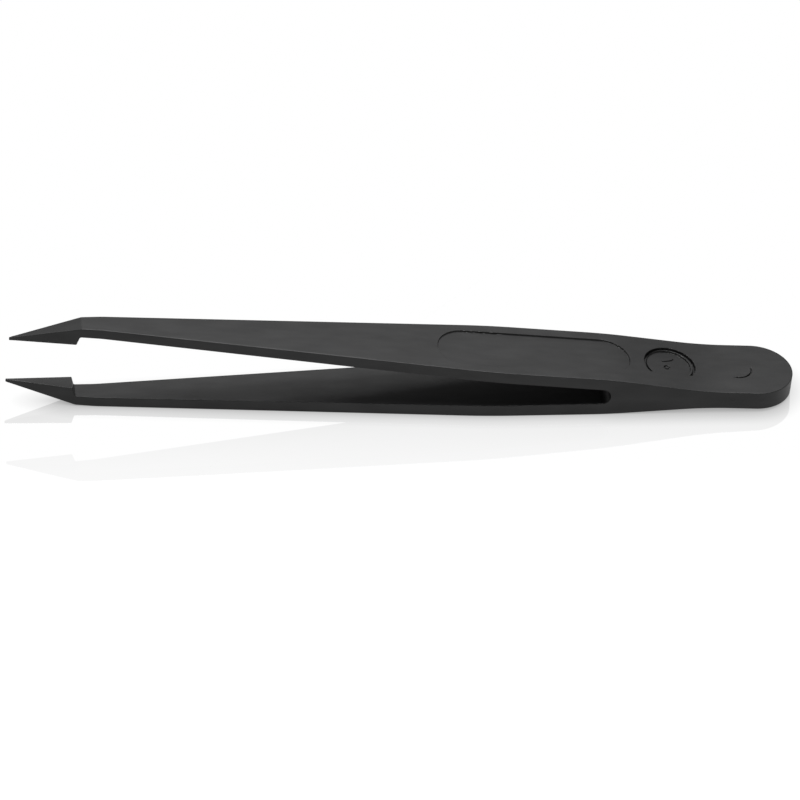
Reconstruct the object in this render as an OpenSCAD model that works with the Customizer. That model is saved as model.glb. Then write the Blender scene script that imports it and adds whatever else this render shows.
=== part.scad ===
// Precision tweezers moulded in one piece from carbon-fibre-filled plastic.
// The two arms are their own springs, and bend over a long stretch in front of the slot end.
// Each spring is drawn as two rigid stretches, which meet on round knuckle faces at the
// centre of the bending, and the front one carries a shank and a stepped, pointed tip.
//
// Shapes are drawn in the mid-plane frame: x runs from the point of the tips to the heel,
// y across the tweezers, and z up from the plane halfway between the arms.
// The whole is then tilted to lie on the flat outer face of the lower arm, and the origin
// is the middle of that face, on the bench.

/* [Overall] */
// Length from the points to the end of the heel
overall_length = 115; // [112:0.5:130]
// Width of the flat heel
heel_width = 11.5; // [10:0.1:14]
// Thickness of the flat end of the heel
heel_thickness = 2.84; // [2.2:0.02:4]

/* [Arms] */
// Height over both arms, measured at the bend behind the tips
bend_height = 14.2; // [12:0.1:15]
// Slope of each arm's outer face to the mid-plane
outer_slope = 0.0515; // [0.045:0.0005:0.058]
// Wall thickness of an arm at the bend
arm_thickness_front = 1.65; // [1.3:0.05:2]
// Half the gap between the arms at the slot end
slot_half_gap = 1.26; // [1:0.02:1.5]
// Distance of the slot end from the points
slot_end_x = 87.7; // [84:0.1:92]
// Distance from the points at which the arms reach their full width
full_width_x = 70; // [60:1:80]
// Full width of the arms
arm_width = 11.3; // [9:0.1:12]

/* [Tips] */
// Distance of the outer bend from the points
bend_x = 10.1; // [8:0.1:13]
// Width of an arm at the bend
bend_width = 2.9; // [2.2:0.1:4]
// Gap between the points at rest
tip_gap = 7.16; // [6:0.02:8]
// Gap between the gripping faces at the step
step_gap = 7.9; // [7:0.02:9]
// Thickness of each point
point_thickness = 0.42; // [0.3:0.02:0.6]
// Width of each point
point_width = 0.24; // [0.16:0.02:0.5]
// Length of the slanted step behind the gripping face
step_run = 0.43; // [0.2:0.01:0.8]

/* [Heel] */
// Distance from the points at which the heel starts to taper
taper_start_x = 87.7; // [86:0.1:90]
// Slope of the tapering faces to the mid-plane
taper_slope = 0.118; // [0.09:0.001:0.13]
// Radius that blends the arm into the taper
taper_start_radius = 90; // [40:5:100]
// Radius that blends the taper into the flat end
taper_end_radius = 60; // [30:5:100]

/* [Springs] */
// Distance from the points to where each arm's spring grows out of the heel
spring_root_x = 84; // [82:0.5:85]
// Distance from the points to the knuckle, at the centre of an arm's bending
knuckle_x = 72; // [68:0.5:79]
// Distance from the points to where the spring ends and the stiff shank starts
spring_front_x = 53; // [50:0.5:60]
// Radius of the round knuckle faces
knuckle_radius = 1.4; // [1.2:0.05:1.6]
// Clearance between the faces of a knuckle
knuckle_gap = 0.02; // [0.01:0.01:0.05]

/* [Hidden] */

heel_colour = [0.16, 0.16, 0.165];
arm_colour = [0.19, 0.19, 0.195];
tip_colour = [0.22, 0.22, 0.225];

rest_tilt = atan(outer_slope);
rest_x = 45;
taper_steps = 8;
end_steps = 24;
slot_steps = 16;
margin = 1;

half_width = heel_width / 2;
pad_z = heel_thickness / 2;
bend_z = bend_height / 2;
inner_bend_z = bend_z - arm_thickness_front;
step_x = bend_x - step_run;
slot_centre_x = slot_end_x - slot_half_gap;
inner_slope = (inner_bend_z - slot_half_gap) / (slot_centre_x - bend_x);
taper_end_x = taper_start_x + (outer_z(taper_start_x) - pad_z) / taper_slope;

// Heights of the upper arm's outer face, inner face and middle above the mid-plane
function outer_z(x) = bend_z - outer_slope * (x - bend_x);
function inner_z(x) = inner_bend_z - inner_slope * (x - bend_x);
function middle_z(x) = (outer_z(x) + inner_z(x)) / 2;

// Closes an outline with the mirror image of its points across the first axis
function with_mirror_image(points) =
    concat(points, [for (i = [len(points) - 1:-1:0]) if (points[i].y > 0) [points[i].x, -points[i].y]]);

// Points of a large-radius arc that replaces the corner between two slopes
function blend(corner, slope_in, slope_out, radius) =
    let (
        angle_in = atan(slope_in),
        angle_out = atan(slope_out),
        reach = radius * tan(abs(angle_out - angle_in) / 2),
        side = angle_out < angle_in ? 1 : -1,
        start = corner - reach * [cos(angle_in), sin(angle_in)],
        centre = start + side * radius * [sin(angle_in), -cos(angle_in)]
    )
    [for (i = [0:taper_steps])
        let (a = angle_in + (angle_out - angle_in) * i / taper_steps)
        centre + side * radius * [-sin(a), cos(a)]];

// Places the mid-plane frame in the rest frame
module at_rest() {
    rotate([0, rest_tilt, 0])
        translate([-rest_x, 0, outer_z(rest_x)])
            children();
}

// Draws a side profile, given in x and z, across the full width
module across(width) {
    translate([0, width / 2, 0])
        rotate([90, 0, 0])
            linear_extrude(height = width)
                children();
}

// Outline from above: the pointed tips, the tapered arms and the round heel
module plan_outline() {
    end_x = overall_length - half_width;
    sides = concat(
        [[0, point_width / 2], [bend_x, bend_width / 2]],
        [[full_width_x, arm_width / 2], [taper_start_x, arm_width / 2], [taper_end_x, half_width]],
        [for (i = [0:end_steps])
            half_width * [sin(90 * i / end_steps), cos(90 * i / end_steps)] + [end_x, 0]]
    );
    polygon(with_mirror_image(sides));
}

// Cuts a profile to the outline
module trimmed() {
    intersection() {
        across(heel_width + 2 * margin) children();
        translate([0, 0, -bend_height])
            linear_extrude(height = 2 * bend_height)
                plan_outline();
    }
}

// The upper arm's knuckle axis, as a cylinder across the whole width
module knuckle(radius) {
    translate([knuckle_x, 0, middle_z(knuckle_x)])
        rotate([90, 0, 0])
            cylinder(h = heel_width + 4 * margin, r = radius, center = true, $fn = 64);
}

// Side profile of the upper arm between two distances from the points
module arm_profile(front_x, back_x) {
    polygon([
        [front_x, inner_z(front_x)], [back_x, inner_z(back_x)],
        [back_x, outer_z(back_x)], [front_x, outer_z(front_x)]
    ]);
}

// Side profile of the slot between the arms, with its round end
module slot_profile() {
    mouth_x = spring_root_x - margin;
    upper = concat(
        [[mouth_x, inner_z(mouth_x)]],
        [for (i = [0:slot_steps])
            slot_half_gap * [sin(90 * i / slot_steps), cos(90 * i / slot_steps)] + [slot_centre_x, 0]]
    );
    polygon(with_mirror_image(upper));
}

// Side profile of the heel: arm stubs, taper and flat end
module heel_profile() {
    taper_start = blend([taper_start_x, outer_z(taper_start_x)], -outer_slope, -taper_slope, taper_start_radius);
    outer = concat(
        [[spring_root_x, outer_z(spring_root_x)]],
        [for (point = taper_start) if (point.x > spring_root_x) point],
        blend([taper_end_x, pad_z], -taper_slope, 0, taper_end_radius),
        [[overall_length, pad_z]]
    );
    polygon(with_mirror_image(outer));
}

module heel() {
    color(heel_colour)
        at_rest()
            trimmed()
                difference() {
                    heel_profile();
                    slot_profile();
                }
}

// Side profile of the tip: gripping face, slanted step and sloping outer face
module tip_profile() {
    polygon([
        [0, tip_gap / 2], [step_x, step_gap / 2], [bend_x, inner_bend_z],
        [bend_x, bend_z], [0, tip_gap / 2 + point_thickness]
    ]);
}

// The pieces of an arm, each drawn as the upper one; side is 0 for upper and 1 for lower
module arm_piece(side, colour) {
    color(colour)
        at_rest()
            mirror([0, 0, side])
                children();
}

// Rear stretch of the spring, hollowed at the knuckle for the round face in front of it
module spring_root(side) {
    arm_piece(side, arm_colour)
        difference() {
            trimmed() arm_profile(knuckle_x, spring_root_x);
            knuckle(knuckle_radius + knuckle_gap);
        }
}

// Front stretch of the spring, ending in the round face of the knuckle
module spring_front(side) {
    arm_piece(side, arm_colour)
        difference() {
            trimmed() arm_profile(spring_front_x, knuckle_x + 2 * knuckle_radius);
            difference() {
                translate([knuckle_x, -heel_width, 0])
                    cube([3 * knuckle_radius, 2 * heel_width, bend_height]);
                knuckle(knuckle_radius);
            }
        }
}

module shank(side) {
    arm_piece(side, arm_colour)
        trimmed() arm_profile(bend_x, spring_front_x);
}

module tip(side) {
    arm_piece(side, tip_colour)
        trimmed() tip_profile();
}

module upper_spring_root() { spring_root(0); }
module upper_spring_front() { spring_front(0); }
module upper_shank() { shank(0); }
module upper_tip() { tip(0); }

module lower_spring_root() { spring_root(1); }
module lower_spring_front() { spring_front(1); }
module lower_shank() { shank(1); }
module lower_tip() { tip(1); }

heel();
upper_spring_root();
upper_spring_front();
upper_shank();
upper_tip();
lower_spring_root();
lower_spring_front();
lower_shank();
lower_tip();
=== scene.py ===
import math

import bmesh
import bpy
import numpy as np
from mathutils import Matrix, Vector


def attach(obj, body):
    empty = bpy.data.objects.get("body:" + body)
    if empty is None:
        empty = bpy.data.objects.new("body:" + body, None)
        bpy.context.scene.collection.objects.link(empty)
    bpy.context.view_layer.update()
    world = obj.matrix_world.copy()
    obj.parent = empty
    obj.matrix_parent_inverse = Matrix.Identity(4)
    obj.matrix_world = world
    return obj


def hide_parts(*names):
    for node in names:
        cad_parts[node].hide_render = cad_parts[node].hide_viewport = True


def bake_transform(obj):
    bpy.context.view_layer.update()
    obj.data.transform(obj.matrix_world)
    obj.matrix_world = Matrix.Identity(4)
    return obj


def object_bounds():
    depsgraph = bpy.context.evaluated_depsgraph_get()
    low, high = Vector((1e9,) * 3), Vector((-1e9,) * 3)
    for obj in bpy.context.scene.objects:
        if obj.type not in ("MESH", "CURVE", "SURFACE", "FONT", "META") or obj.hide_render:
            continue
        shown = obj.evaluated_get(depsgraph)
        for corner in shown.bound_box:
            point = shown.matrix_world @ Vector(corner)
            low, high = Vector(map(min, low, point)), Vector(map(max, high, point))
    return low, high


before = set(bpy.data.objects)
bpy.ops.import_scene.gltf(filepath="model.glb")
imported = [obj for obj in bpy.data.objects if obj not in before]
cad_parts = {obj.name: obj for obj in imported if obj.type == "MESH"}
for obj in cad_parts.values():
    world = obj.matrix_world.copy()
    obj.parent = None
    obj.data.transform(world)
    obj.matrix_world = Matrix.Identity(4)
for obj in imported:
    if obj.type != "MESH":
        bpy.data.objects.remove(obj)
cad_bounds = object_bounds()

# Moulded plastic precision tweezers. Shapes are drawn in millimetres in the mid-plane frame:
# x runs from the points to the heel, y across, and z up from the plane between the arms.
# An arm is drawn as the upper one, and the lower arm is its mirror image without the marks.

MM = 0.001               # one millimetre, in Blender's metres

# ---- Driving dimensions, as in the CAD part -------------------------------------------------
OVERALL_LENGTH = 115.0
HEEL_WIDTH = 11.5
HEEL_THICKNESS = 2.84
ARM_WIDTH = 11.3
FULL_WIDTH_X = 70.0      # the arms reach their full width here
OUTER_SLOPE = 0.0515     # of each arm's outer face to the mid-plane
SLOT_HALF_GAP = 1.26
SLOT_END_X = 87.7
BEND_X = 10.1            # the outer bend behind the points
BEND_HEIGHT = 14.2       # over both arms at the bend
BEND_WIDTH = 2.9
TIP_GAP = 7.16           # between the points
STEP_GAP = 7.9           # between the gripping faces at the step
STEP_RUN = 0.43          # length of the slanted step
POINT_THICKNESS = 0.42
POINT_WIDTH = 0.24
TAPER_START_X = 87.7     # the heel's taper to its flat end
TAPER_SLOPE = 0.118
TAPER_START_RADIUS = 90.0
TAPER_END_RADIUS = 60.0
SPRING_FRONT_X = 53.0    # the bending stretch of an arm ends here
REST_X = 45.0            # the origin lies below this place

# ---- Finishing dimensions of the moulding ---------------------------------------------------
EDGE_RADIUS = 0.08       # fillet along every long edge
EDGE_SHARE = 0.36        # largest fillet, as a share of the local half width or thickness
EDGE_STEPS = 4           # segments in each fillet
ARC_STEPS = 8            # segments in each rounded corner of a profile
BEND_RADIUS = 1.6        # outside of the bend behind the points
BEND_LAG = 0.2           # the outer face bends this far behind the step's root
LEVEL_END_X = 13.2       # behind the bend the arm runs almost level up to here
LEVEL_RADIUS = 20.0      # corner where the level stretch ends
LEVEL_OUTER_Z = 6.92     # outer face at the bend
LEVEL_INNER_Z = 5.36     # inner face at the bend
STEP_TOE_RADIUS = 0.12   # edge of the gripping face at the step
STEP_ROOT_RADIUS = 0.3   # corner between the step and the shank
WIDTH_RADIUS = 110.0     # plan corner where the arms reach their full width
FLARE_RADIUS = 120.0     # plan corners where the arms widen into the heel
PLAN_BEND_RADIUS = 6.0   # plan corner at the bend
TIP_SEAM_X = 13.0        # the tip piece reaches just behind its bend
POINT_ROUND = 0.1        # length of the rounding at the very point
POINT_SHRINK = 0.5       # share by which a section at 90 degrees around it would shrink
POINT_ANGLES = (75, 50, 25)  # degrees around it at which it has sections

HALF_WIDTH = HEEL_WIDTH / 2
BEND_Z = BEND_HEIGHT / 2
PAD_Z = HEEL_THICKNESS / 2
HEEL_ROUND_X = OVERALL_LENGTH - HALF_WIDTH
SLOT_CENTRE_X = SLOT_END_X - SLOT_HALF_GAP
REST_TILT = math.atan(OUTER_SLOPE)


def straight_outer_z(x):
    """Height of the arm's straight outer face."""
    return BEND_Z - OUTER_SLOPE * (x - BEND_X)


TAPER_START_Z = straight_outer_z(TAPER_START_X)
TAPER_END_X = TAPER_START_X + (TAPER_START_Z - PAD_Z) / TAPER_SLOPE
REST_RISE = straight_outer_z(REST_X)


# ---- Profiles ------------------------------------------------------------------------------
def rounded_path(corners):
    """Points along straight lines through (x, value, radius) corners, each corner an arc."""
    points = [np.array(corners[0][:2], float)]
    for before, corner, after in zip(corners, corners[1:], corners[2:]):
        here = np.array(corner[:2], float)
        back = np.array(before[:2], float) - here
        ahead = np.array(after[:2], float) - here
        back /= np.linalg.norm(back)
        ahead /= np.linalg.norm(ahead)
        half_angle = math.acos(np.clip(back @ ahead, -1, 1)) / 2
        reach = corner[2] / math.tan(half_angle)
        middle = (back + ahead) / np.linalg.norm(back + ahead)
        centre = here + middle * corner[2] / math.sin(half_angle)
        start = here + back * reach - centre
        end = here + ahead * reach - centre
        turn = math.atan2(start[0] * end[1] - start[1] * end[0], start @ end)
        for angle in np.linspace(0, turn, ARC_STEPS + 1):
            c, s = math.cos(angle), math.sin(angle)
            points.append(centre + [c * start[0] - s * start[1], s * start[0] + c * start[1]])
    points.append(np.array(corners[-1][:2], float))
    return np.array(points)


OUTER = rounded_path([
    (0, TIP_GAP / 2 + POINT_THICKNESS, 0),
    (BEND_X + BEND_LAG, LEVEL_OUTER_Z, BEND_RADIUS),
    (LEVEL_END_X, straight_outer_z(LEVEL_END_X), LEVEL_RADIUS),
    (TAPER_START_X, TAPER_START_Z, TAPER_START_RADIUS),
    (TAPER_END_X, PAD_Z, TAPER_END_RADIUS),
    (OVERALL_LENGTH, PAD_Z, 0),
])
INNER = rounded_path([
    (0, TIP_GAP / 2, 0),
    (BEND_X - STEP_RUN, STEP_GAP / 2, STEP_TOE_RADIUS),
    (BEND_X, LEVEL_INNER_Z, STEP_ROOT_RADIUS),
    (LEVEL_END_X, LEVEL_INNER_Z, LEVEL_RADIUS),
    (SLOT_CENTRE_X, SLOT_HALF_GAP, 0),
])
SIDE = rounded_path([
    (0, POINT_WIDTH / 2, 0),
    (BEND_X, BEND_WIDTH / 2, PLAN_BEND_RADIUS),
    (FULL_WIDTH_X, ARM_WIDTH / 2, WIDTH_RADIUS),
    (TAPER_START_X, ARM_WIDTH / 2, FLARE_RADIUS),
    (TAPER_END_X, HALF_WIDTH, FLARE_RADIUS),
    (HEEL_ROUND_X, HALF_WIDTH, 0),
])


def along(path, x):
    """Value of a path at x."""
    return float(np.interp(x, path[:, 0], path[:, 1]))


# ---- Moulded marks, as heights over the upper face or the heel's side wall -------------------
WALL_RUN = 0.05          # run of the steep walls of the marks
LINE_HALF_WIDTH = 0.09   # of the pointer, the hub and the pin mark
LINE_DEPTH = 0.22        # of the pointer and the hub

BORDER_START_X = 66.4    # centres of the pill's round ends
BORDER_END_X = 86.8
BORDER_RADIUS = 4.0
BORDER_DEPTH = 0.24

DIAL_X = 96.77
DIAL_RADIUS = 3.8
DIAL_CHORD_Y = -2.2      # the dial is cut off straight here
DIAL_GROOVE_WIDTH = 0.32
DIAL_GROOVE_DEPTH = 0.6
DIAL_RIM_DEPTH = 0.12    # of the narrow rim inside the groove
DIAL_FLOOR_X = 96.6
DIAL_FLOOR_RADIUS = 3.25
DIAL_FLOOR_DEPTH = 0.38
POINTER_X = 96.65
POINTER_Y = 1.15
POINTER_HALF_LENGTH = 0.9
POINTER_TILT = 0.4
POINTER_CURVE = 0.25     # how far its ends rise above its middle
HUB_X = 96.35
HUB_Y = -0.35
HUB_RADIUS = 0.36

PIN_X = 106.9
PIN_RADIUS = 2.0
PIN_DEPTH = 0.26
PIN_ARC_ANGLE = math.radians(-50)  # direction from the ring's centre to the middle of its arc
PIN_ARC_FULL = math.radians(48)    # the arc keeps its depth up to here on both sides
PIN_ARC_END = math.radians(62)     # and has faded out here

SPECK_XS = (105.7, 110.0)
SPECK_Z = -0.1
SPECK_LENGTH = 0.34
SPECK_TALL = 0.12
SPECK_HEIGHT = 0.05

MARK_MARGIN = 0.3        # the mesh is fine up to this far outside each mark
MARK_ZONES = (
    (BORDER_START_X - BORDER_RADIUS - MARK_MARGIN, BORDER_END_X + BORDER_RADIUS + MARK_MARGIN),
    (DIAL_X - DIAL_RADIUS - MARK_MARGIN, DIAL_X + DIAL_RADIUS + MARK_MARGIN),
    (PIN_X - PIN_RADIUS - MARK_MARGIN, PIN_X + PIN_RADIUS + MARK_MARGIN),
)


def inside(distance):
    """1 inside an outline and 0 outside it, with a short smooth wall; distance is signed."""
    t = np.clip(0.5 - distance / WALL_RUN, 0, 1)
    return t * t * (3 - 2 * t)


def border_relief(x, y):
    """Shallow pill-shaped panel, with nothing inside it."""
    nearest = np.clip(x, BORDER_START_X, BORDER_END_X)
    return -BORDER_DEPTH * inside(np.hypot(x - nearest, y) - BORDER_RADIUS)


def dial_relief(x, y):
    """Round insert in a deep groove, cut off by a chord, with a curved pointer and a small hub."""
    r = np.hypot(x - DIAL_X, y)
    beyond_chord = DIAL_CHORD_Y - y
    rim_radius = DIAL_RADIUS - DIAL_GROOVE_WIDTH
    groove = inside(np.maximum(r - DIAL_RADIUS, beyond_chord))
    rim = inside(np.maximum(r - rim_radius, beyond_chord))
    floor = inside(np.maximum(np.hypot(x - DIAL_FLOOR_X, y) - DIAL_FLOOR_RADIUS, beyond_chord))
    along_pointer = (x - POINTER_X) / POINTER_HALF_LENGTH
    arch = POINTER_Y + POINTER_TILT * (x - POINTER_X) + POINTER_CURVE * np.abs(along_pointer) ** 3
    pointer = np.maximum(np.abs(y - arch) - LINE_HALF_WIDTH, np.abs(x - POINTER_X) - POINTER_HALF_LENGTH)
    hub = np.abs(np.hypot(x - HUB_X, y - HUB_Y) - HUB_RADIUS) - LINE_HALF_WIDTH
    lines = inside(np.minimum(pointer, hub))
    return (
        (DIAL_GROOVE_DEPTH - DIAL_RIM_DEPTH) * rim - DIAL_GROOVE_DEPTH * groove
        + (DIAL_RIM_DEPTH - DIAL_FLOOR_DEPTH) * floor - LINE_DEPTH * lines
    )


def pin_relief(x, y):
    """Part of a ring, left by an ejector pin."""
    arcward = ((x - PIN_X) * math.cos(PIN_ARC_ANGLE) + y * math.sin(PIN_ARC_ANGLE)) / PIN_RADIUS
    end = math.cos(PIN_ARC_END)
    share = np.clip((arcward - end) / (math.cos(PIN_ARC_FULL) - end), 0, 1)
    ring = inside(np.abs(np.hypot(x - PIN_X, y) - PIN_RADIUS) - LINE_HALF_WIDTH)
    return -PIN_DEPTH * share * ring


def upper_relief(x, y):
    """All marks on the upper face."""
    return border_relief(x, y) + dial_relief(x, y) + pin_relief(x, y)


def no_relief(x, y):
    """A face without marks."""
    return np.zeros(np.broadcast(x, y).shape)


def speck_relief(x, z):
    """Two small proud specks on the heel's side wall, at negative y."""
    height = 0.0
    for speck_x in SPECK_XS:
        far = ((x - speck_x) / SPECK_LENGTH) ** 2 + ((z - SPECK_Z) / SPECK_TALL) ** 2
        height += SPECK_HEIGHT * math.exp(-far)
    return height


def no_speck(x, z):
    """A side wall without specks."""
    return 0.0


# ---- Lofted sections ------------------------------------------------------------------------
MARK_SPACING = 0.05      # between sections, and between points across, at the moulded marks
HEEL_SPACING = 0.25      # between sections elsewhere
ARM_SPACING = 1.0
TIP_SPACING = 0.35
MARK_HALF_WIDTH = 4.52   # of the strip along the upper face that holds the marks
FACE_EDGE_FRACTIONS = (0.84, 0.93, 0.985, 1)  # points beside that strip, up to the edge
HEEL_ROUND_STEPS = 45    # sections around a quarter of the heel's round end
MERGE_DISTANCE = 0.004   # sections closer than this are merged
WELD_DISTANCE = 1e-4
SLIVER_LENGTH = 1e-5
SLOPE_STEP = 0.2         # distance over which the plan outline's slope is taken
SHARP_ANGLE = math.radians(50)


def fractions_across(half_width, spacing):
    """Fractions across a face, finely spaced over the middle, where the marks are."""
    fine = np.arange(-MARK_HALF_WIDTH, MARK_HALF_WIDTH + spacing / 2, spacing) / half_width
    edge = np.array(FACE_EDGE_FRACTIONS)
    return (np.concatenate([-edge[::-1], fine, edge]) + 1) / 2


def supported(count, edge):
    """Fractions from 0 to 1 with one close to each end, so that fillets shade cleanly."""
    return np.concatenate([[0, edge], np.linspace(edge, 1 - edge, count)[1:-1], [1 - edge, 1]])


MARKED_COLUMNS = fractions_across(HALF_WIDTH, MARK_SPACING)
PLAIN_COLUMNS = supported(7, 0.03)
WALL_ROWS = supported(4, 0.05)
HEEL_ROWS = np.linspace(0, 1, 22)  # close enough together to carry the specks


def stations(start, end, paths, spacing, marked):
    """Places of the sections: evenly spaced, at every point of the paths, and fine at marks."""
    places = [np.linspace(start, end, max(2, round((end - start) / spacing) + 1))]
    places += [path[:, 0] for path in paths]
    if marked:
        places += [np.arange(*zone, MARK_SPACING) for zone in MARK_ZONES]
    places = np.unique(np.round(np.concatenate(places), 4))
    places = places[(places >= start) & (places <= end)]
    keep = [start]
    for place in places:
        if place - keep[-1] > MERGE_DISTANCE and end - place > MERGE_DISTANCE:
            keep.append(place)
    return keep + [end]


def section(place, wall, heights, radius, columns, rows, relief=no_relief, speck=no_speck):
    """Closed ring of points of one section.

    place is the (x, y) of the side wall and wall its outward normal, both seen from above.
    heights are those of the lower and upper faces, and radius is that of the fillets.
    """
    x, y = place
    nx, ny = wall
    low, high = heights
    across = (2 * columns - 1) * (y - radius * ny)
    below = (1 - 2 * PLAIN_COLUMNS) * (y - radius * ny)
    face_x = x - radius * nx
    ring = [(face_x, ty, tz) for ty, tz in zip(across, high + relief(face_x, across))]
    turns = [math.pi / 2 * i / EDGE_STEPS for i in range(1, EDGE_STEPS)]
    side = [(radius * (1 - math.sin(a)), high - radius * (1 - math.cos(a))) for a in turns]
    side += [(0.0, high - radius - f * (high - low - 2 * radius)) for f in rows]
    side += [(radius * (1 - math.cos(a)), low + radius * (1 - math.sin(a))) for a in turns]
    ring += [(x - inset * nx, y - inset * ny, z) for inset, z in side]
    ring += [(face_x, by, low) for by in below]
    for inset, z in reversed(side):
        proud = speck(x, z) if inset == 0.0 else 0.0
        ring.append((x - (inset - proud) * nx, -(y - (inset - proud) * ny), z))
    return ring


def loft(rings, cap_end=True):
    """Closed mesh through rings with equal numbers of points.

    cap_end is False where the last ring has closed up to a line and needs no cap.
    """
    bm = bmesh.new()
    rows = [[bm.verts.new(p) for p in ring] for ring in rings]
    for a, b in zip(rows, rows[1:]):
        for i in range(len(a)):
            j = (i + 1) % len(a)
            bm.faces.new((a[i], a[j], b[j], b[i]))
    bm.faces.new(rows[0][::-1])
    if cap_end:
        bm.faces.new(rows[-1])
    bmesh.ops.remove_doubles(bm, verts=bm.verts, dist=WELD_DISTANCE)
    bmesh.ops.dissolve_degenerate(bm, dist=SLIVER_LENGTH, edges=bm.edges)
    bmesh.ops.recalc_face_normals(bm, faces=bm.faces)
    return bm


def to_rest(bm, mirrored=False):
    """Moves a mesh from the mid-plane frame, in mm, to the rest frame, in metres."""
    flip = Matrix.Scale(-1, 4, (0, 0, 1)) if mirrored else Matrix.Identity(4)
    shift = Matrix.Translation((-REST_X, 0, REST_RISE))
    tilt = Matrix.Rotation(REST_TILT, 4, "Y")
    bm.transform(Matrix.Scale(MM, 4) @ tilt @ shift @ flip)
    if mirrored:
        bmesh.ops.reverse_faces(bm, faces=bm.faces)


def finish_piece(name, bm, mirrored=False):
    """Turns a mesh into a smooth-shaded object in the rest frame."""
    to_rest(bm, mirrored)
    mesh = bpy.data.meshes.new(name)
    bm.to_mesh(mesh)
    bm.free()
    mesh.shade_smooth()
    mesh.set_sharp_from_angle(angle=SHARP_ANGLE)
    piece = bpy.data.objects.new(name, mesh)
    bpy.context.scene.collection.objects.link(piece)
    return piece


def side_normal(x):
    """Outward normal of the plan outline in front of the round heel."""
    rise = (along(SIDE, x + SLOPE_STEP) - along(SIDE, x - SLOPE_STEP)) / (2 * SLOPE_STEP)
    return np.array([-rise, 1.0]) / math.hypot(rise, 1.0)


def arm_stretch(start, end, spacing, relief=no_relief):
    """Sections of one stretch of an arm."""
    marked = relief is not no_relief
    columns = MARKED_COLUMNS if marked else PLAIN_COLUMNS
    rings = []
    for x in stations(start, end, (OUTER, INNER, SIDE), spacing, marked):
        low, high, half_width = along(INNER, x), along(OUTER, x), along(SIDE, x)
        radius = min(EDGE_RADIUS, EDGE_SHARE * (high - low) / 2, EDGE_SHARE * half_width)
        rings.append(section((x, half_width), side_normal(x), (low, high), radius,
                             columns, WALL_ROWS, relief))
    return rings


def tip_rings():
    """Sections of the stepped tip, which shrink to a rounded end at the very point."""
    rings = arm_stretch(0, TIP_SEAM_X, TIP_SPACING)
    first = np.array(rings[0])
    middle = np.array([0, 0, (along(INNER, 0) + along(OUTER, 0)) / 2])
    ends = []
    for angle in np.radians([*POINT_ANGLES, 0]):
        shrink = 1 - POINT_SHRINK * (1 - math.cos(angle))
        ring = (first - middle) * shrink + middle
        ring[:, 0] += POINT_ROUND * (1 - math.sin(angle))
        ends.append([tuple(point) for point in ring])
    return ends + rings[1:]


def heel_bm():
    """The heel, still without the slot: the arms' stubs, the taper and the flat round end."""
    rings = []
    straight = stations(SLOT_CENTRE_X, HEEL_ROUND_X, (OUTER, SIDE), HEEL_SPACING, True)
    outline = [((x, along(SIDE, x)), side_normal(x)) for x in straight]
    for angle in np.linspace(0, math.pi / 2, HEEL_ROUND_STEPS + 1)[1:]:
        s, c = math.sin(angle), math.cos(angle)
        outline.append(((HEEL_ROUND_X + HALF_WIDTH * s, HALF_WIDTH * c), (s, c)))
    for place, wall in outline:
        high = along(OUTER, place[0])
        rings.append(section(place, wall, (-high, high), EDGE_RADIUS, MARKED_COLUMNS, HEEL_ROWS,
                             upper_relief, speck_relief))
    return loft(rings, cap_end=False)


SLOT_ARC_STEPS = 32      # segments in the slot's round end
CUTTER_REACH = 3.0       # how far the cutter reaches in front of the slot's round end
CUTTER_OVERHANG = 1.0    # how far it stands out of each side wall


def slot_cutter():
    """Round end of the slot, flared by the edge radius at the side faces."""
    flare_y = ARM_WIDTH / 2 - EDGE_RADIUS
    flare = []
    for step in range(EDGE_STEPS + 1):
        angle = math.pi / 2 * step / EDGE_STEPS
        flare.append((flare_y + EDGE_RADIUS * math.sin(angle), EDGE_RADIUS * (1 - math.cos(angle))))
    flare.append((ARM_WIDTH / 2 + CUTTER_OVERHANG, EDGE_RADIUS))
    front_x = SLOT_CENTRE_X - CUTTER_REACH
    turns = np.linspace(-math.pi / 2, math.pi / 2, SLOT_ARC_STEPS + 1)
    rings = []
    for y, grow in [(-y, grow) for y, grow in reversed(flare)] + flare:
        radius = SLOT_HALF_GAP + grow
        arc = [(SLOT_CENTRE_X + radius * math.cos(t), y, radius * math.sin(t)) for t in turns]
        rings.append([(front_x, y, -radius)] + arc + [(front_x, y, radius)])
    return loft(rings)


def cut(bm, cutter_bm):
    """The first mesh without the second."""
    objects = []
    for name, source in (("cut_body", bm), ("cut_tool", cutter_bm)):
        mesh = bpy.data.meshes.new(name)
        source.to_mesh(mesh)
        source.free()
        thing = bpy.data.objects.new(name, mesh)
        bpy.context.scene.collection.objects.link(thing)
        objects.append(thing)
    body, tool = objects
    modifier = body.modifiers.new("slot", "BOOLEAN")
    modifier.operation = "DIFFERENCE"
    modifier.solver = "EXACT"
    modifier.object = tool
    graph = bpy.context.evaluated_depsgraph_get()
    result = bmesh.new()
    result.from_object(body, graph)
    for thing in objects:
        mesh = thing.data
        bpy.data.objects.remove(thing)
        bpy.data.meshes.remove(mesh)
    return result


# ---- Material -------------------------------------------------------------------------------
DEEP_BLACK = (0.0050, 0.0050, 0.0052, 1)
SOFT_BLACK = (0.0080, 0.0080, 0.0083, 1)
ROUGHNESS_RANGE = (0.38, 0.46)
SHEEN_RANGE = (0.44, 0.54)
NOISE_RANGE = (0.3, 0.7)         # the middle of a noise, where nearly all its values are
GRAIN_STRENGTH = 0.12
GRAIN_HEIGHT = 0.02 * MM
# Each noise: scale per metre, detail, and stretch along x, y and z
STREAK_NOISE = (180, 4, (0.12, 1, 1))
GRAIN_NOISE = (5200, 2, (1, 1, 1))
CLOUD_NOISE = (70, 3, (1, 1, 1))
FLECK_NOISE = (650, 3, (0.3, 1, 1))


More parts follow.
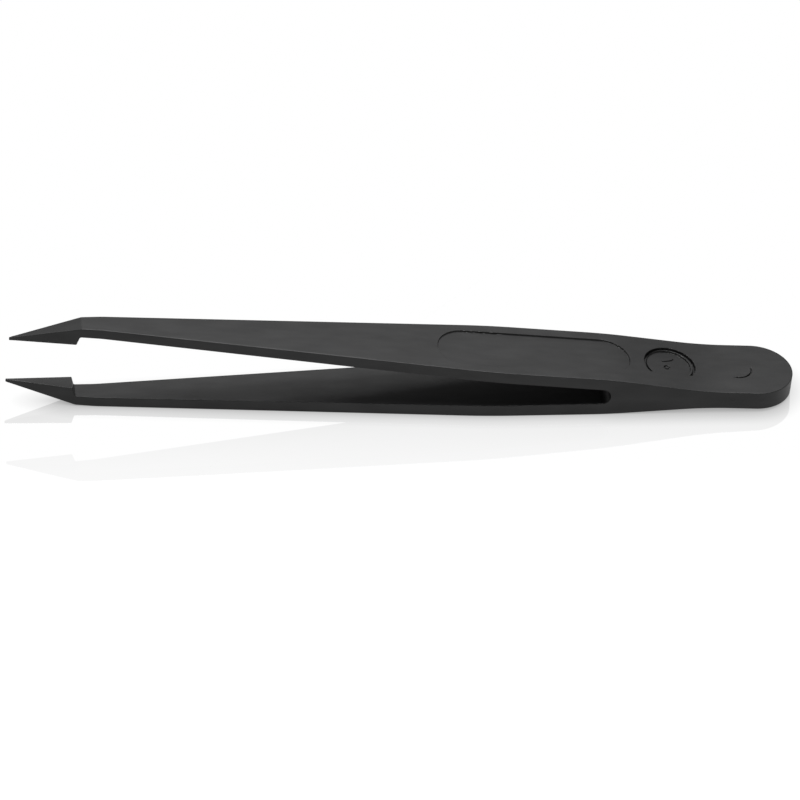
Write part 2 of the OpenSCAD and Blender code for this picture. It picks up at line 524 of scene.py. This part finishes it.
def moulding_material():
    """Near-black filled plastic: faint flow streaks, fine moulded grain and a soft sheen."""
    material = bpy.data.materials.new("filled_plastic")
    material.use_nodes = True
    nodes, links = material.node_tree.nodes, material.node_tree.links
    shader = nodes["Principled BSDF"]
    where = nodes.new("ShaderNodeTexCoord")

    def noise(scale, detail, stretch):
        mapping = nodes.new("ShaderNodeMapping")
        mapping.inputs["Scale"].default_value = stretch
        texture = nodes.new("ShaderNodeTexNoise")
        texture.inputs["Scale"].default_value = scale
        texture.inputs["Detail"].default_value = detail
        links.new(where.outputs["Object"], mapping.inputs["Vector"])
        links.new(mapping.outputs["Vector"], texture.inputs["Vector"])
        return texture.outputs["Fac"]

    def ramp(source, low, high):
        node = nodes.new("ShaderNodeMapRange")
        node.inputs["From Min"].default_value = NOISE_RANGE[0]
        node.inputs["From Max"].default_value = NOISE_RANGE[1]
        node.inputs["To Min"].default_value = low
        node.inputs["To Max"].default_value = high
        links.new(source, node.inputs["Value"])
        return node.outputs["Result"]

    streaks = noise(*STREAK_NOISE)
    grain = noise(*GRAIN_NOISE)
    clouds = noise(*CLOUD_NOISE)
    flecks = noise(*FLECK_NOISE)
    colour = nodes.new("ShaderNodeMix")
    colour.data_type = "RGBA"
    colour.inputs["A"].default_value = DEEP_BLACK
    colour.inputs["B"].default_value = SOFT_BLACK
    links.new(ramp(streaks, 0.0, 1.0), colour.inputs["Factor"])
    links.new(colour.outputs["Result"], shader.inputs["Base Color"])
    links.new(ramp(clouds, *ROUGHNESS_RANGE), shader.inputs["Roughness"])
    links.new(ramp(flecks, *SHEEN_RANGE), shader.inputs["Specular IOR Level"])
    bump = nodes.new("ShaderNodeBump")
    bump.inputs["Strength"].default_value = GRAIN_STRENGTH
    bump.inputs["Distance"].default_value = GRAIN_HEIGHT
    links.new(grain, bump.inputs["Height"])
    links.new(bump.outputs["Normal"], shader.inputs["Normal"])
    return material


# ---- Pieces ---------------------------------------------------------------------------------
PLASTIC = moulding_material()


def place_piece(piece, replaced):
    """Gives a piece the plastic, and hides the CAD nodes that it stands for."""
    piece.data.materials.append(PLASTIC)
    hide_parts(*replaced)


heel = finish_piece("rounded_heel", cut(heel_bm(), slot_cutter()))
place_piece(heel, ["heel"])
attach(heel, "heel")

for side, mirrored in (("upper", False), ("lower", True)):
    relief = no_relief if mirrored else upper_relief
    spring_rings = arm_stretch(SPRING_FRONT_X, SLOT_CENTRE_X, ARM_SPACING, relief)
    spring = finish_piece(f"{side}_sprung_arm", loft(spring_rings), mirrored)
    place_piece(spring, [f"{side}_spring_root", f"{side}_spring_front"])
    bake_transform(spring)
    shank_rings = arm_stretch(TIP_SEAM_X, SPRING_FRONT_X, ARM_SPACING)
    shank = finish_piece(f"{side}_tapered_shank", loft(shank_rings), mirrored)
    place_piece(shank, [f"{side}_shank"])
    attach(shank, f"{side}_arm")
    tip = finish_piece(f"{side}_pointed_tip", loft(tip_rings()), mirrored)
    place_piece(tip, [f"{side}_tip"])
    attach(tip, f"{side}_arm")


# ---- Floor ----------------------------------------------------------------------------------
SURROUNDING_LIGHT = 0.27  # even light around the object; the camera sees plain white instead
FLOOR_SIZE = 6.0
FLOOR_DROP = 0.05 * MM    # the table lies this far below the arm's face
MIRROR_NEAR = 0.78        # strength of the floor's mirror image beside the object
MIRROR_FAR = 0.085        # strength of the mirror image away from it
MIRROR_START = 4.0 * MM   # distance from the centre line at which it starts to fade
MIRROR_FADE = 9.0 * MM    # distance over which it fades
MIRROR_ROUGHNESS = 0.02
SHADE_SAMPLES = 16
FLOOR_GLOW = 0.66         # brightness of the table as the object sees it
CONTACT_REACH = 3.2 * MM  # distance over which the object shades the table
CONTACT_DEPTH = 0.65      # how dark that shade gets


def floor_material():
    """White glossy table that mirrors the object, most strongly right beside it."""
    material = bpy.data.materials.new("white_table")
    material.use_nodes = True
    nodes, links = material.node_tree.nodes, material.node_tree.links
    nodes.clear()

    def maths(operation, first, second=None):
        node = nodes.new("ShaderNodeMath")
        node.operation = operation
        for value, socket in ((first, node.inputs[0]), (second, node.inputs[1])):
            if isinstance(value, bpy.types.NodeSocket):
                links.new(value, socket)
            elif value is not None:
                socket.default_value = value
        return node.outputs[0]

    place = nodes.new("ShaderNodeNewGeometry")
    split = nodes.new("ShaderNodeSeparateXYZ")
    links.new(place.outputs["Position"], split.inputs["Vector"])
    beside = maths("SUBTRACT", maths("ABSOLUTE", split.outputs["Y"]), MIRROR_START)
    beside = maths("MAXIMUM", beside, 0.0)
    fade = maths("EXPONENT", maths("MULTIPLY", beside, -1 / MIRROR_FADE))
    share = maths("ADD", maths("MULTIPLY", fade, MIRROR_NEAR - MIRROR_FAR), MIRROR_FAR)
    shade = nodes.new("ShaderNodeAmbientOcclusion")
    shade.inputs["Distance"].default_value = CONTACT_REACH
    shade.samples = SHADE_SAMPLES
    open_sky = maths("ADD", maths("MULTIPLY", shade.outputs["AO"], CONTACT_DEPTH), 1 - CONTACT_DEPTH)

    # To the camera: a mirror, and a glow that makes up white where it mirrors only surroundings
    white = nodes.new("ShaderNodeEmission")
    plain = maths("SUBTRACT", 1.0, maths("MULTIPLY", share, SURROUNDING_LIGHT))
    links.new(maths("MULTIPLY", plain, open_sky), white.inputs["Strength"])
    mirror = nodes.new("ShaderNodeBsdfGlossy")
    mirror.inputs["Roughness"].default_value = MIRROR_ROUGHNESS
    grey = nodes.new("ShaderNodeCombineColor")
    for channel in grey.inputs:
        links.new(share, channel)
    links.new(grey.outputs[0], mirror.inputs["Color"])
    both = nodes.new("ShaderNodeAddShader")
    links.new(white.outputs[0], both.inputs[0])
    links.new(mirror.outputs[0], both.inputs[1])

    # To everything else: an even glow
    dim = nodes.new("ShaderNodeEmission")
    links.new(maths("MULTIPLY", open_sky, FLOOR_GLOW), dim.inputs["Strength"])
    path = nodes.new("ShaderNodeLightPath")
    either = nodes.new("ShaderNodeMixShader")
    links.new(path.outputs["Is Camera Ray"], either.inputs["Fac"])
    links.new(dim.outputs[0], either.inputs[1])
    links.new(both.outputs[0], either.inputs[2])
    output = nodes.new("ShaderNodeOutputMaterial")
    links.new(either.outputs[0], output.inputs["Surface"])
    return material


def make_floor():
    """The table top, which isn't part of the object."""
    bm = bmesh.new()
    bmesh.ops.create_grid(bm, x_segments=1, y_segments=1, size=FLOOR_SIZE / 2)
    mesh = bpy.data.meshes.new("table_top")
    bm.to_mesh(mesh)
    bm.free()
    mesh.materials.append(floor_material())
    floor = bpy.data.objects.new("table_top", mesh)
    floor.location.z = -FLOOR_DROP
    bpy.context.scene.collection.objects.link(floor)


make_floor()


# ---- Light ----------------------------------------------------------------------------------
REAR_BOX_OFFSET = Vector((0.0, 0.2, 0.4))
REAR_BOX_SIZE = 0.4
REAR_BOX_POWER = 0.68
OVERHEAD_BOX_OFFSET = Vector((0.0, 0.05, 0.4))
OVERHEAD_BOX_SIZE = 0.25
OVERHEAD_BOX_POWER = 1.8


def soft_light(name, offset, size, power):
    """A square softbox, placed from the middle of the object and turned to it."""
    target = (cad_bounds[0] + cad_bounds[1]) / 2
    place = target + offset
    data = bpy.data.lights.new(name, "AREA")
    data.size = size
    data.energy = power
    light = bpy.data.objects.new(name, data)
    light.location = place
    light.rotation_mode = "QUATERNION"
    light.rotation_quaternion = (target - place).to_track_quat("-Z", "Y")
    bpy.context.scene.collection.objects.link(light)


def white_surroundings():
    """Plain white to the camera, and a dimmer even light for everything else."""
    world = bpy.data.worlds.new("studio")
    world.use_nodes = True
    bpy.context.scene.world = world
    nodes, links = world.node_tree.nodes, world.node_tree.links
    background = nodes["Background"]
    background.inputs["Color"].default_value = (1, 1, 1, 1)
    path = nodes.new("ShaderNodeLightPath")
    strength = nodes.new("ShaderNodeMapRange")
    strength.inputs["To Min"].default_value = SURROUNDING_LIGHT
    links.new(path.outputs["Is Camera Ray"], strength.inputs["Value"])
    links.new(strength.outputs["Result"], background.inputs["Strength"])


white_surroundings()
soft_light("rear_softbox", REAR_BOX_OFFSET, REAR_BOX_SIZE, REAR_BOX_POWER)
soft_light("overhead_softbox", OVERHEAD_BOX_OFFSET, OVERHEAD_BOX_SIZE, OVERHEAD_BOX_POWER)


# ---- Camera ---------------------------------------------------------------------------------
CAMERA_ELEVATION = math.radians(37.86)
CAMERA_AZIMUTH = math.radians(7.05)
CAMERA_ROLL = math.radians(-3.34)
CAMERA_DISTANCE = 1.2
CAMERA_AIM = Vector((12.45, -2.78, 1.06)) * MM
CAMERA_LENS = 371.3
CAMERA_SENSOR = 36
CAMERA_REACH = 20        # metres, past the far edge of the floor


def make_camera():
    """Looks down from the near side, a little from the end with the points, and slightly rolled."""
    data = bpy.data.cameras.new("camera")
    data.lens = CAMERA_LENS
    data.sensor_width = CAMERA_SENSOR
    data.clip_end = CAMERA_REACH
    camera = bpy.data.objects.new("camera", data)
    flat = math.cos(CAMERA_ELEVATION)
    forward = Vector((math.sin(CAMERA_AZIMUTH) * flat, math.cos(CAMERA_AZIMUTH) * flat,
                      -math.sin(CAMERA_ELEVATION)))
    level = forward.cross(Vector((0, 0, 1))).normalized()
    level_up = level.cross(forward)
    up = level_up * math.cos(CAMERA_ROLL) + level * math.sin(CAMERA_ROLL)
    right = forward.cross(up)
    axes = Matrix((right, up, -forward)).transposed()
    camera.matrix_world = Matrix.Translation(CAMERA_AIM - forward * CAMERA_DISTANCE) @ axes.to_4x4()
    bpy.context.scene.collection.objects.link(camera)
    bpy.context.scene.camera = camera


make_camera()
bpy.context.scene.view_settings.view_transform = "Standard"
